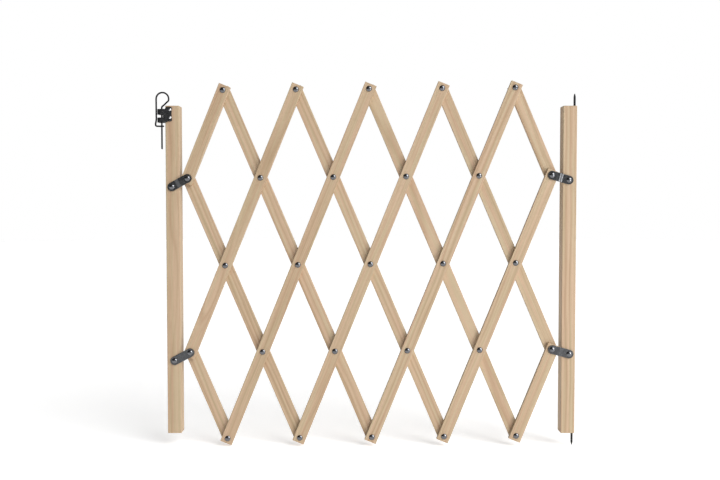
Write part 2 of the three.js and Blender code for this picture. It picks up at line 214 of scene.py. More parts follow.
def clear_oiled_beech():
    # Planed European beech under clear oil: a pale tan with a little pink, close straight
    # grain in soft bands, short brown ray flecks, darker cut ends and a low satin sheen.
    material, tree = new_material("clear_oiled_beech")
    place = add(tree, "ShaderNodeAttribute", attribute_name="grain").outputs["Vector"]
    tone = add(tree, "ShaderNodeAttribute", attribute_name="tone").outputs["Fac"]
    end = add(tree, "ShaderNodeAttribute", attribute_name="end").outputs["Fac"]
    mm = add(tree, VECTOR, {0: place, "Scale": 1000}, operation="SCALE")

    # growth bands: distance from the heart of the tree, wandering slowly along the board
    slow = add(tree, STRETCH, {"Vector": mm, "Scale": [1 / 60, 1 / 60, 1 / 420]})
    wander = add(tree, NOISE, {"Vector": slow, "Scale": 1, "Detail": 2}).outputs["Color"]
    shift = add(tree, VECTOR, (wander, (0.5, 0.5, 0.5)), operation="SUBTRACT")
    warped = add(tree, VECTOR, (shift, (22, 22, 0), mm), operation="MULTIPLY_ADD")
    flat = add(tree, VECTOR, (warped, (1, 1, 0)), operation="MULTIPLY")
    from_heart = add(tree, VECTOR, (flat,), operation="LENGTH").outputs["Value"]
    # real bands are 2 to 3 mm apart; they are drawn at 5 mm so that they show
    rings = add(tree, MATH, (from_heart, 5.0), operation="DIVIDE")
    bands = add(tree, NOISE, {"W": rings, "Scale": 1, "Detail": 2, "Roughness": 0.55},
                noise_dimensions="1D")
    zones = stretched_noise(tree, mm, (16, 16, 420), 2)
    fibres = stretched_noise(tree, mm, (1.3, 1.3, 70), 4, 0.6)
    fine = stretched_noise(tree, mm, (0.45, 0.45, 12), 2)

    depth = add(tree, MATH, (add(tree, RANGE, (bands, 0.32, 0.68)), 0.42), operation="MULTIPLY")
    for pattern, weight in ((add(tree, RANGE, (zones, 0.3, 0.7)), 0.26),
                            (add(tree, RANGE, (fibres, 0.3, 0.7)), 0.32), (tone, 0.05)):
        depth = add(tree, MATH, (pattern, weight, depth), operation="MULTIPLY_ADD")
    wood = tinted(add(tree, RAMP, (depth,)), (0.12, "#c5ad91"), (0.38, "#bfa78a"),
                  (0.60, "#b79d80"), (0.86, "#ab8f71"))
    # some streaks lean to pink and the ones between them to straw
    streaks = add(tree, RANGE, (stretched_noise(tree, mm, (5, 5, 260), 1), 0.38, 0.62))
    lean = add(tree, MIX, {0: streaks, 6: linear("#f4fff8"), 7: linear("#fff5f6")},
               data_type="RGBA").outputs[2]
    wood = add(tree, MIX, {0: 0.5, 6: wood, 7: lean},
               data_type="RGBA", blend_type="MULTIPLY").outputs[2]

    # ray flecks: brown lens shapes about 0.5 mm wide and 3 mm long
    flecks = add(tree, RANGE, (stretched_noise(tree, mm, (0.55, 0.55, 3.4), 1), 0.66, 0.74))
    amount = add(tree, MATH, (flecks, 0.42), operation="MULTIPLY")
    wood = add(tree, MIX, {0: amount, 6: wood, 7: linear("#87694b")},
               data_type="RGBA").outputs[2]
    # cut ends drink more oil and show the rings and open pores
    pores = add(tree, RANGE, (stretched_noise(tree, mm, (0.5, 0.5, 4), 1), 0.45, 0.7))
    cut = add(tree, MIX, {0: pores, 6: linear("#b08e68"), 7: linear("#8d6c4a")},
              data_type="RGBA").outputs[2]
    amount = add(tree, MATH, (end, 0.7), operation="MULTIPLY")
    wood = add(tree, MIX, {0: amount, 6: wood, 7: cut}, data_type="RGBA").outputs[2]

    relief = add(tree, MATH, (fine, 0.5, fibres), operation="MULTIPLY_ADD")
    sunk = add(tree, MATH, (flecks, 0.6), operation="MULTIPLY")
    relief = add(tree, MATH, (relief, sunk), operation="SUBTRACT")
    show(tree, {
        "Base Color": wood, "Roughness": add(tree, RANGE, (fibres, 0.3, 0.7, 0.50, 0.64)),
        "Normal": add(tree, BUMP, {"Height": relief, "Distance": 0.12 * MM, "Strength": 0.5})})
    return material


def black_zinc_strip():
    # Cold-rolled steel strip, zinc plated and black passivated: anthracite with a satin
    # gleam, faintly mottled and finely pitted.
    material, tree = new_material("black_zinc_strip")
    mm = own_millimetres(tree)
    mottle = stretched_noise(tree, mm, (4.5, 4.5, 4.5), 3, 0.6)
    grit = stretched_noise(tree, mm, (0.7, 0.7, 0.7), 2)
    colour = tinted(add(tree, RAMP, (mottle,)), (0.30, "#4d4e50"), (0.55, "#58595b"),
                    (0.75, "#666769"))
    show(tree, {
        "Base Color": colour, "Roughness": add(tree, RANGE, (mottle, 0.3, 0.7, 0.18, 0.30)),
        "Metallic": 0.9,
        "Normal": add(tree, BUMP, {"Height": grit, "Distance": 0.05 * MM, "Strength": 0.35})})
    return material


def polished_black_rivet():
    # Cold-headed steel rivet, tumbled and black plated: a dark mirror with a sharp white
    # highlight on its dome.
    material, tree = new_material("polished_black_rivet")
    tumble = stretched_noise(tree, own_millimetres(tree), (1.6, 1.6, 1.6), 3, 0.6)
    colour = tinted(add(tree, RAMP, (tumble,)), (0.35, "#6b6c6f"), (0.70, "#7b7c80"))
    show(tree, {
        "Base Color": colour, "Roughness": add(tree, RANGE, (tumble, 0.3, 0.7, 0.10, 0.16)),
        "Metallic": 1.0,
        "Normal": add(tree, BUMP, {"Height": tumble, "Distance": 0.03 * MM, "Strength": 0.2})})
    return material


def black_spring_wire():
    # Hard-drawn spring wire with a black oxide skin: almost black, dull, with fine scuffs.
    material, tree = new_material("black_spring_wire")
    scuffs = stretched_noise(tree, own_millimetres(tree), (0.9, 0.9, 9), 3, 0.6)
    colour = tinted(add(tree, RAMP, (scuffs,)), (0.35, "#232325"), (0.62, "#2f2f32"),
                    (0.80, "#434347"))
    show(tree, {
        "Base Color": colour, "Roughness": add(tree, RANGE, (scuffs, 0.3, 0.7, 0.36, 0.5)),
        "Metallic": 0.8,
        "Normal": add(tree, BUMP, {"Height": scuffs, "Distance": 0.04 * MM, "Strength": 0.3})})
    return material


def bright_zinc_screw():
    # Clear zinc-plated screw: pale silver, slightly cloudy, with a soft shine.
    material, tree = new_material("bright_zinc_screw")
    cloud = stretched_noise(tree, own_millimetres(tree), (1.2, 1.2, 1.2), 2)
    colour = tinted(add(tree, RAMP, (cloud,)), (0.3, "#c9cbce"), (0.7, "#e4e5e7"))
    show(tree, {
        "Base Color": colour, "Roughness": add(tree, RANGE, (cloud, 0.3, 0.7, 0.26, 0.38)),
        "Metallic": 1.0,
        "Normal": add(tree, BUMP, {"Height": cloud, "Distance": 0.02 * MM, "Strength": 0.2})})
    return material


BEECH = clear_oiled_beech()
STRIP = black_zinc_strip()
RIVET = polished_black_rivet()
WIRE = black_spring_wire()
SCREW = bright_zinc_screw()


# ---- mesh helpers -------------------------------------------------------------------


def new_object(name, mesh):
    obj = bpy.data.objects.new(name, mesh)
    bpy.context.scene.collection.objects.link(obj)
    return obj


def settle(obj):
    """Turns an object with its modifiers into a plain mesh with closed, outward faces."""
    bpy.context.view_layer.update()
    graph = bpy.context.evaluated_depsgraph_get()
    mesh = bpy.data.meshes.new_from_object(obj.evaluated_get(graph))
    shape = bmesh.new()
    shape.from_mesh(mesh)
    bmesh.ops.remove_doubles(shape, verts=shape.verts, dist=WELD)
    bmesh.ops.recalc_face_normals(shape, faces=shape.faces)
    shape.to_mesh(mesh)
    shape.free()
    mesh.name = obj.name
    if obj.type == "MESH":
        obj.modifiers.clear()
        obj.data = mesh
        return obj
    name = obj.name
    bpy.data.objects.remove(obj)
    return new_object(name, mesh)


def smooth(obj, sharp_degrees=None):
    """Smooth shading whose highlights follow the large faces, kept in the mesh's normals."""
    obj.data.polygons.foreach_set("use_smooth", [True] * len(obj.data.polygons))
    if sharp_degrees:
        obj.data.set_sharp_from_angle(angle=math.radians(sharp_degrees))
    modifier = obj.modifiers.new("weighted", "WEIGHTED_NORMAL")
    modifier.keep_sharp = bool(sharp_degrees)
    graph = bpy.context.evaluated_depsgraph_get()
    mesh = bpy.data.meshes.new_from_object(
        obj.evaluated_get(graph), preserve_all_data_layers=True, depsgraph=graph)
    obj.modifiers.clear()
    obj.data = mesh
    return obj


def plate_mesh(name, outline, holes, thickness, edge):
    """A flat plate with eased edges. Its outline is in X and Y, and it is centred on Z = 0."""
    curve = bpy.data.curves.new(name, "CURVE")
    curve.dimensions, curve.fill_mode = "2D", "BOTH"
    curve.extrude, curve.bevel_depth, curve.bevel_resolution = thickness / 2 - edge, edge, 2
    curve.offset = -edge
    for points in [outline, *holes]:
        spline = curve.splines.new("POLY")
        spline.points.add(len(points) - 1)
        for point, (x, y) in zip(spline.points, points):
            point.co = (x, y, 0, 1)
        spline.use_cyclic_u = True
    return settle(new_object(name, curve))


def arc(cx, cy, radius, start, end, steps):
    return [(cx + radius * math.cos(start + (end - start) * i / steps),
             cy + radius * math.sin(start + (end - start) * i / steps)) for i in range(steps + 1)]


def circle(cx, cy, radius, steps=BIT_SIDES):
    return arc(cx, cy, radius, 0, TURN, steps)[:-1]


def join_by_boolean(obj, others, operation):
    for other in others:
        modifier = obj.modifiers.new("join", "BOOLEAN")
        modifier.operation, modifier.object, modifier.solver = operation, other, "EXACT"
    settle(obj)
    for other in others:
        bpy.data.objects.remove(other)
    return obj


def cylinder(name, centre, radius, depth, along):
    """A plain bit for boring a hole."""
    shape = bmesh.new()
    bmesh.ops.create_cone(shape, cap_ends=True, segments=BIT_SIDES, radius1=radius, radius2=radius,
                          depth=depth)
    turn = Matrix.Rotation(math.pi / 2, 4, "X") if along == "y" else Matrix.Identity(4)
    shape.transform(Matrix.Translation(centre) @ turn)
    mesh = bpy.data.meshes.new(name)
    shape.to_mesh(mesh)
    shape.free()
    return new_object(name, mesh)


# ---- geometry node trees ------------------------------------------------------------


def new_tree(name, sizes):
    tree = bpy.data.node_groups.new(name, "GeometryNodeTree")
    tree.interface.new_socket("Geometry", in_out="INPUT", socket_type="NodeSocketGeometry")
    for label, value in sizes.items():
        kind = "NodeSocketInt" if isinstance(value, int) else "NodeSocketFloat"
        socket = tree.interface.new_socket(label, in_out="INPUT", socket_type=kind)
        socket.default_value = value
    tree.interface.new_socket("Geometry", in_out="OUTPUT", socket_type="NodeSocketGeometry")
    return tree, add(tree, "NodeGroupInput").outputs


def end_tree(tree, geometry, material):
    real = add(tree, "GeometryNodeRealizeInstances", (geometry,))
    painted = add(tree, "GeometryNodeSetMaterial", {"Geometry": real, "Material": material})
    add(tree, "NodeGroupOutput", (painted,))


def run_tree(obj, tree, **sizes):
    """Runs a tree on an object with its sizes, and keeps the result as a plain mesh."""
    modifier = obj.modifiers.new(tree.name, "NODES")
    modifier.node_group = tree
    for item in tree.interface.items_tree:
        label = item.name.replace(" ", "_").lower()
        if item.in_out == "INPUT" and label in sizes:
            modifier[item.identifier] = sizes[label]
    return settle(obj)


def turning_tree(name, sizes, profile, material):
    """A turned shape on every point of the input, with its head towards -Y.

    The profile's steps are (radius size, factor, {height size: factor}), from the top of
    the head down to the tip.
    """
    tree, inp = new_tree(name, {"Sides": TURNED_SIDES, **sizes})
    steps = len(profile)
    columns = add(tree, MATH, (inp["Sides"], 1), operation="ADD")
    grid = add(tree, "GeometryNodeMeshGrid", {"Vertices X": columns, "Vertices Y": steps})
    index = add(tree, "GeometryNodeInputIndex")
    step = add(tree, MATH, (index, steps), operation="MODULO")
    column = add(tree, MATH, (index, steps), operation="DIVIDE")
    column = add(tree, MATH, (column,), operation="FLOOR")
    share = add(tree, MATH, (column, inp["Sides"]), operation="DIVIDE")
    angle = add(tree, MATH, (share, TURN), operation="MULTIPLY")

    def of_step(values):
        """The value that belongs to each point's step of the profile."""
        node = add(tree, "GeometryNodeIndexSwitch", data_type="FLOAT")
        while len(node.index_switch_items) < steps:
            node.index_switch_items.new()
        connect(tree, node, {"Index": step, **dict(enumerate(values, 1))})
        return node

    radius = of_step([add(tree, MATH, (inp[r], f), operation="MULTIPLY") for r, f, _ in profile])
    heights = []
    for _, _, terms in profile:
        height = 0
        for label, factor in terms.items():
            height = add(tree, MATH, (inp[label], factor, height), operation="MULTIPLY_ADD")
        heights.append(height)
    across = [add(tree, MATH, (radius, add(tree, MATH, (angle,), operation=way)),
                  operation="MULTIPLY") for way in ("COSINE", "SINE")]
    place = add(tree, XYZ, (*across, of_step(heights)))
    shaped = add(tree, "GeometryNodeSetPosition", {"Geometry": grid, "Position": place})
    closed = add(tree, "GeometryNodeMergeByDistance", {"Geometry": shaped, "Distance": WELD})
    placed = add(tree, "GeometryNodeInstanceOnPoints", {
        "Points": inp["Geometry"], "Instance": closed, "Rotation": (math.pi / 2, 0, 0)})
    end_tree(tree, placed, material)
    return tree


def domed_head():
    """Profile steps from the crown of a domed head, under its rim, to its shank."""
    rows = []
    flat = math.cos(DOME_FULLNESS)
    for i in range(DOME_STEPS + 1):
        a = DOME_FULLNESS * i / DOME_STEPS
        rise = DOME_RIM + (1 - DOME_RIM) * (math.cos(a) - flat) / (1 - flat)
        rows.append(("Head radius", math.sin(a) / math.sin(DOME_FULLNESS), {"Head height": rise}))
    return rows + [("Head radius", 0.985, {}), ("Shank radius", 1, {})]


def rivet_profile():
    grip = {"Grip": -1}
    under = {**grip, "Washer": -1}
    rows = domed_head() + [("Shank radius", 1, grip)]
    # a washer under the clinched tail, whose rolled rim stands round a small dimple
    rows += [("Washer radius", 0.96, grip), ("Washer radius", 1, {**grip, "Washer": -0.15}),
             ("Washer radius", 1, {**grip, "Washer": -0.85}), ("Washer radius", 0.96, under),
             ("Tail radius", 1.02, under)]
    for i in range(7):
        a = math.pi * i / 6
        rows.append(("Tail radius", 0.70 + 0.30 * math.cos(a),
                     {**under, "Tail height": -math.sin(a) * 0.92 - 0.06 * i / 6}))
    rows += [("Tail radius", 0.2, {**under, "Tail height": -0.2}),
             ("Tail radius", 0, {**under, "Tail height": -0.22})]
    return rows


def stub_profile():
    """A rivet's head with just the part of its shank that passes through a strap."""
    return domed_head() + [("Shank radius", 1, {"Grip": -1}), ("Shank radius", 0, {"Grip": -1})]


def screw_profile():
    """A domed head on a shank that ends in a point."""
    return domed_head() + [
        ("Shank radius", 1, {"Depth": -1, "Shank radius": 2.4}),
        ("Shank radius", 0.12, {"Depth": -1, "Shank radius": 0.1}),
        ("Shank radius", 0, {"Depth": -1})]


def hinge_pin_profile():
    rows = [("Pin radius", 0, {"Out": 1})]
    for i in range(1, 6):
        a = math.pi / 2 * i / 5
        rows.append(("Pin radius", PIN_TIP * math.sin(a),
                     {"Out": 1, "Pin radius": -PIN_TIP * (1 - math.cos(a))}))
    rows += [("Pin radius", 0.90, {"Out": 1, "Point": -0.84}),
             ("Pin radius", 0.98, {"Out": 1, "Point": -0.96}),
             ("Pin radius", 1, {"Out": 1, "Point": -1.06}),
             ("Pin radius", 1, {"In": -1, "Pin radius": 0.2}),
             ("Pin radius", 0.8, {"In": -1}), ("Pin radius", 0, {"In": -1})]
    return rows


def drilled_slat_tree():
    """Bores a row of rivet holes through a board that lies along Z."""
    tree, inp = new_tree("drilled_slat", {
        "Holes": 3, "Spacing": PIVOT_SPACING, "Hole radius": BORE, "Thickness": 10 * MM})
    gaps = add(tree, MATH, (inp["Holes"], 1), operation="SUBTRACT")
    span = add(tree, MATH, (gaps, inp["Spacing"]), operation="MULTIPLY")
    first = add(tree, MATH, (span, -0.5), operation="MULTIPLY")
    line = add(tree, "GeometryNodeMeshLine", {
        "Count": inp["Holes"], "Start Location": add(tree, XYZ, {"Z": first}),
        "Offset": add(tree, XYZ, {"Z": inp["Spacing"]})})
    reach = add(tree, MATH, (inp["Thickness"], 1.5), operation="MULTIPLY")
    bit = add(tree, "GeometryNodeMeshCylinder", {
        "Vertices": BIT_SIDES, "Radius": inp["Hole radius"], "Depth": reach})
    bits = add(tree, "GeometryNodeInstanceOnPoints", {
        "Points": line, "Instance": bit, "Rotation": (math.pi / 2, 0, 0)})
    bored = add(tree, "GeometryNodeMeshBoolean", {
        "Mesh 1": inp["Geometry"], "Mesh 2": add(tree, "GeometryNodeRealizeInstances", (bits,)),
    }, operation="DIFFERENCE", solver="EXACT")
    end_tree(tree, bored, BEECH)
    return tree


def bent_wire_tree():
    """A round wire with rounded ends along the input's chain of edges."""
    tree, inp = new_tree("bent_wire", {"Wire radius": WIRE_RADIUS, "Sides": WIRE_SIDES})
    path = add(tree, "GeometryNodeMeshToCurve", (inp["Geometry"],))
    length = add(tree, "GeometryNodeSplineParameter").outputs["Length"]
    whole = add(tree, "GeometryNodeSplineLength").outputs["Length"]
    left = add(tree, MATH, (whole, length), operation="SUBTRACT")
    from_end = add(tree, MATH, (length, left), operation="MINIMUM")
    # a half-round end: the radius follows a circle over the last wire radius of the length
    lack = add(tree, MATH, (from_end, inp["Wire radius"]), operation="DIVIDE")
    lack = add(tree, MATH, (1, lack), operation="SUBTRACT")
    lack = add(tree, MATH, (lack, 0), operation="MAXIMUM")
    share = add(tree, MATH, (lack, lack), operation="MULTIPLY")
    share = add(tree, MATH, (1, share), operation="SUBTRACT")
    share = add(tree, MATH, (share, 0.0004), operation="MAXIMUM")
    share = add(tree, MATH, (share,), operation="SQRT")
    section = add(tree, "GeometryNodeCurvePrimitiveCircle", {
        "Resolution": inp["Sides"], "Radius": inp["Wire radius"]})
    wire = add(tree, "GeometryNodeCurveToMesh", {
        "Curve": path, "Profile Curve": section, "Scale": share, "Fill Caps": True})
    end_tree(tree, wire, WIRE)
    return tree


# ---- timber -------------------------------------------------------------------------


def board_frame(node):
    """A board's own frame, from its solid: width on X, thickness on Y and grain along Z."""
    points = np.array([v.co for v in frame["nodes"][node].data.vertices])
    low, high = points.min(0), points.max(0)
    centre = (low + high) / 2
    _, _, axes = np.linalg.svd(np.unique(np.round(points, 6), axis=0) - centre)
    along = Vector(axes[0])
    along.y = 0
    along.normalize()
    if along.z < 0:
        along.negate()
    back = Vector((0, 1, 0))
    turn = Matrix((back.cross(along), back, along)).transposed()
    local = (points - centre) @ np.array(turn)
    size = Vector(local.max(0) - local.min(0))
    return Matrix.Translation(centre) @ turn.to_4x4(), size


def eased_block(name, size, ease):
    """A block about the origin whose twelve edges are rounded."""
    shape = bmesh.new()
    bmesh.ops.create_cube(shape, size=1)
    shape.transform(Matrix.Diagonal((*size, 1)))
    bmesh.ops.bevel(shape, geom=shape.edges, offset=ease, segments=EASE_STEPS, profile=0.5,
                    affect="EDGES")
    mesh = bpy.data.meshes.new(name)
    shape.to_mesh(mesh)
    shape.free()
    return new_object(name, mesh)


def grow_grain(obj, size, ease, chance):
    """Keeps the board's own coordinates, its tone and its cut ends as attributes."""
    mesh = obj.data
    turn = chance.uniform(0, TURN)
    reach = chance.uniform(PITH_NEAR, PITH_FAR)
    shift = Vector((reach * math.cos(turn), reach * math.sin(turn), chance.uniform(0, 40)))
    tone = chance.uniform(-1, 1)
    points = [vertex.co.copy() for vertex in mesh.vertices]
    grain = mesh.attributes.new("grain", "FLOAT_VECTOR", "POINT")
    grain.data.foreach_set("vector", [c for point in points for c in point + shift])
    tones = mesh.attributes.new("tone", "FLOAT", "POINT")
    tones.data.foreach_set("value", [tone] * len(points))
    ends = mesh.attributes.new("end", "FLOAT", "POINT")
    ends.data.foreach_set("value", [
        min(max((abs(point.z) - size.z / 2) / ease + 1, 0), 1) for point in points])


def one_material(obj, material):
    obj.data.polygons.foreach_set("material_index", [0] * len(obj.data.polygons))
    obj.data.materials.clear()
    obj.data.materials.append(material)


def flat_faces_stay_flat(obj):
    """Smooth shading on rounded edges and bores only; boards keep their planed faces flat."""
    for face in obj.data.polygons:
        face.use_smooth = max(abs(c) for c in face.normal) < 0.9995


def make_slats():
    tree = drilled_slat_tree()
    chance = random.Random(SEED)
    made = []
    for node in sorted(n for n in frame["nodes"] if n.startswith("slat_")):
        place, size = board_frame(node)
        blank = eased_block("beech_" + node, size, SLAT_EASE)
        holes = 1 + int(size.z / PIVOT_SPACING)
        run_tree(blank, tree, holes=holes, thickness=size.y)
        one_material(blank, BEECH)
        flat_faces_stay_flat(blank)
        grow_grain(blank, size, SLAT_EASE, chance)
        blank.data.transform(place)
        made.append((blank, NODE_BODY[node], "beech", [node]))
    return made


def make_posts():
    chance = random.Random(SEED + 1)
    made = []
    bores = {
        "right_post": [("right_upper_strap_screw", BORE), ("right_lower_strap_screw", BORE),
                       ("upper_hinge_pin", BORE), ("lower_hinge_pin", BORE)],
        "left_post": [("left_upper_strap_screw", BORE), ("left_lower_strap_screw", BORE),
                      ("latch_screw_upper", LATCH_BORE), ("latch_screw_lower", LATCH_BORE)],
    }
    for node, holes in bores.items():
        low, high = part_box(node)
        size, centre = high - low, (low + high) / 2
        post = eased_block("beech_" + node, size, POST_EASE)
        bits = []
        for i, (inside, radius) in enumerate(holes):
            in_low, in_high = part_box(inside)
            along = "z" if "hinge" in inside else "y"
            middle = (in_low + in_high) / 2 - centre
            reach = max(in_high - in_low) + 0.6 * MM
            bits.append(cylinder(f"bit_{i}", middle, radius, reach, along))
        join_by_boolean(post, bits, "DIFFERENCE")
        flat_faces_stay_flat(post)
        grow_grain(post, size, POST_EASE, chance)
        one_material(post, BEECH)
        post.data.transform(Matrix.Translation(centre))
        made.append((post, NODE_BODY[node], "beech", [node]))
    return made


# ---- rivets, screws and pins --------------------------------------------------------


def points_object(name, points):
    mesh = bpy.data.meshes.new(name)
    mesh.from_pydata(points, [], [])
    return new_object(name, mesh)


def seat_of(node):
    """Where a head sits on what it holds: the middle of the head's flat underside."""
    low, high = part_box(node)
    height = LATCH_HEAD_SOLID if node.startswith("latch") else HEAD_HEIGHT
    return Vector(((low.x + high.x) / 2, low.y + height + SEAT_GAP - CREEP,
                   (low.z + high.z) / 2))


def turned_pieces(prefix, tree, nodes, slot_name, deeper=0, **sizes):
    """One mesh of turned pieces, set deeper if asked, for each body that holds the nodes."""
    made = []
    for body in sorted({NODE_BODY[n] for n in nodes}):
        held = sorted(n for n in nodes if NODE_BODY[n] == body)
        seats = [seat_of(n) + Vector((0, deeper, 0)) for n in held]
        obj = points_object(f"{prefix}_{body}", seats)
        run_tree(obj, tree, **sizes)
        smooth(obj, TURNED_CREASE)
        made.append((obj, body, slot_name, held))
    return made


def make_rivets():
    nodes = [n for n in frame["nodes"] if n.startswith("rivet_")]
    strap_nodes = [n for n in frame["nodes"] if n.endswith("strap_rivet")]
    tree = turning_tree("clinched_rivet", {
        "Head radius": HEAD_RADIUS, "Head height": HEAD_HEIGHT + SEAT_GAP - CREEP,
        "Shank radius": SHANK_RADIUS, "Grip": GRIP, "Washer radius": WASHER_RADIUS,
        "Washer": WASHER_THICKNESS, "Tail radius": TAIL_RADIUS, "Tail height": TAIL_HEIGHT,
    }, rivet_profile(), RIVET)
    through = STRAP_THICKNESS + SEAT_GAP
    upper = [n for n in strap_nodes if "upper" in n]
    lower = [n for n in strap_nodes if "lower" in n]
    made = turned_pieces("rivets", tree, nodes, "rivet_steel")
    made += turned_pieces("strap_rivet", tree, upper, "rivet_steel", grip=GRIP + through)
    # a lower strap slides a little on its slat as the lattice folds: the shank stays in the
    # slat, with its cut end just under the strap, and the head stays on the strap
    made += turned_pieces("strap_rivet_shank", tree, lower, "rivet_steel", deeper=through,
                          head_radius=SHANK_RADIUS, head_height=SEAT_GAP / 2)
    heads = turning_tree("strap_rivet_head", {
        "Head radius": HEAD_RADIUS, "Head height": HEAD_HEIGHT + SEAT_GAP - CREEP,
        "Shank radius": SHANK_RADIUS, "Grip": STRAP_THICKNESS}, stub_profile(), RIVET)
    for node in lower:
        head = run_tree(points_object("head_" + node, [seat_of(node)]), heads)
        smooth(head, TURNED_CREASE)
        made.append((head, NODE_BODY[node.removesuffix("_rivet")], "rivet_steel", []))
    return made


def make_screws():
    strap_nodes = [n for n in frame["nodes"] if n.endswith("strap_screw")]
    latch_nodes = [n for n in frame["nodes"] if n.startswith("latch_screw")]
    tree = turning_tree("domed_screw", {
        "Head radius": HEAD_RADIUS, "Head height": HEAD_HEIGHT + SEAT_GAP - CREEP,
        "Shank radius": SHANK_RADIUS, "Depth": SCREW_DEPTH}, screw_profile(), RIVET)
    small = turning_tree("pan_head_screw", {
        "Head radius": LATCH_HEAD_RADIUS, "Head height": LATCH_HEAD_HEIGHT,
        "Shank radius": LATCH_SHANK_RADIUS, "Depth": LATCH_SCREW_DEPTH}, screw_profile(), SCREW)
    made = turned_pieces("strap_screws", tree, strap_nodes, "rivet_steel")
    made += turned_pieces("latch_screws", small, latch_nodes, "rivet_steel")
    return made


def make_hinge_pins():
    tree = turning_tree("hinge_pin", {
        "Pin radius": PIN_RADIUS, "Out": PIN_OUT, "In": PIN_IN, "Point": PIN_POINT,
    }, hinge_pin_profile(), WIRE)
    made = []
    for node in ("upper_hinge_pin", "lower_hinge_pin"):
        low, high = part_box(node)
        pin = run_tree(points_object(node + "_turned", [(0, 0, 0)]), tree)
        smooth(pin, TURNED_CREASE)
        upward = node.startswith("upper")
        turn = Matrix.Rotation(-math.pi / 2 if upward else math.pi / 2, 4, "X")
        face = high.z - PIN_OUT if upward else low.z + PIN_OUT
        middle = Vector(((low.x + high.x) / 2, (low.y + high.y) / 2, face))
        pin.data.transform(Matrix.Translation(middle) @ turn)
        made.append((pin, NODE_BODY[node], "black_wire", [node]))
    return made


# ---- straps -------------------------------------------------------------------------


def make_straps():
    made = []
    for side in ("left", "right"):
        for row in ("upper", "lower"):
            node = f"{side}_{row}_strap"
            low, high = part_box(node)
            inner = seat_of(node + "_rivet")
            outer = seat_of(node + "_screw")
            reach = Vector((outer.x - inner.x, 0, outer.z - inner.z))
            holes = reach.length
            outline = arc(0, 0, STRAP_RADIUS, math.pi / 2, math.pi * 1.5, 24)
            outline += arc(holes, 0, STRAP_RADIUS, -math.pi / 2, math.pi / 2, 24)
            strap = plate_mesh("cranked_" + node, outline,
                               [circle(0, 0, BORE), circle(holes, 0, BORE)],
                               STRAP_THICKNESS, STRAP_EDGE)
            crank_strap(strap.data, CRANK_START[side], high.y - low.y - STRAP_THICKNESS)
            strap.data.materials.append(STRIP)
            smooth(strap)
            reach.normalize()
            # X along the strap, Y to the back, Z across it
            turn = Matrix((reach, Vector((0, 1, 0)), reach.cross(Vector((0, 1, 0))))).transposed()
            middle = Vector((inner.x, low.y + STRAP_THICKNESS / 2, inner.z))
            strap.data.transform(Matrix.Translation(middle) @ turn.to_4x4())
            made.append((strap, NODE_BODY[node], "black_zinc", [node]))
    return made


def crank_strap(mesh, start, step):
    """Stands the flat strap up to face -Y, and sets its far end back by one soft step."""
    shape = bmesh.new()
    shape.from_mesh(mesh)
    shape.transform(Matrix.Rotation(math.pi / 2, 4, "X"))
    for i in range(CRANK_CUTS):
        x = start + CRANK_RUN * i / (CRANK_CUTS - 1)
        bmesh.ops.bisect_plane(shape, geom=shape.verts[:] + shape.edges[:] + shape.faces[:],
                               plane_co=(x, 0, 0), plane_no=(1, 0, 0), dist=0.001 * MM)
    for vertex in shape.verts:
        t = min(max((vertex.co.x - start) / CRANK_RUN, 0), 1)
        vertex.co.y += step * t * t * (3 - 2 * t)
    bmesh.ops.recalc_face_normals(shape, faces=shape.faces)
    shape.to_mesh(mesh)
    shape.free()


# ---- latch --------------------------------------------------------------------------


def rolled_strip(name, path, thickness, bottom, top, edge):
    """A strip on edge along a plan path, with its long edges eased."""
    half_t, half_h = thickness / 2, (top - bottom) / 2
    section = []
    for cx, cz, start in ((1, 1, 0), (-1, 1, 1), (-1, -1, 2), (1, -1, 3)):
        section += [(cx * (half_t - edge) + x, cz * (half_h - edge) + z) for x, z in arc(
            0, 0, edge, start * math.pi / 2, (start + 1) * math.pi / 2, 3)]
    shape = bmesh.new()
    rings = []
    for i, (x, y) in enumerate(path):
        before, after = path[max(i - 1, 0)], path[min(i + 1, len(path) - 1)]
        along = Vector((after[0] - before[0], after[1] - before[1])).normalized()
        rings.append([shape.verts.new((x - along.y * a, y + along.x * a, (bottom + top) / 2 + b))
                      for a, b in section])
    for one, two in zip(rings, rings[1:]):
        for j in range(len(section)):
            k = (j + 1) % len(section)
            shape.faces.new((one[j], one[k], two[k], two[j]))
    shape.faces.new(rings[0])
    shape.faces.new(rings[-1][::-1])
    bmesh.ops.recalc_face_normals(shape, faces=shape.faces)
    mesh = bpy.data.meshes.new(name)
    shape.to_mesh(mesh)
    shape.free()
    return new_object(name, mesh)


def plate_outline():
    """The latch plate and its web, from the post's outer side and top."""
    corner = PLATE_CORNER
    straight = PLATE_TOP - PLATE_BOTTOM - 2 * corner
    outline = [(0, PLATE_BOTTOM)]
    outline += arc(PLATE_RIGHT - corner, PLATE_BOTTOM + corner, corner, -math.pi / 2, 0, 8)
    for t in (i / 12 for i in range(1, 12)):
        outline.append((PLATE_RIGHT - 4 * PLATE_WAIST * t * (1 - t),
                        PLATE_BOTTOM + corner + straight * t))
    outline += arc(PLATE_RIGHT - corner, PLATE_TOP - corner, corner, 0, math.pi / 2, 8)
    return outline + [(corner, PLATE_TOP), (0, PLATE_TOP - corner), (0, WEB_TOP),
                      (WEB_LEFT, WEB_TOP), (WEB_LEFT, WEB_BOTTOM), (0, WEB_BOTTOM)]


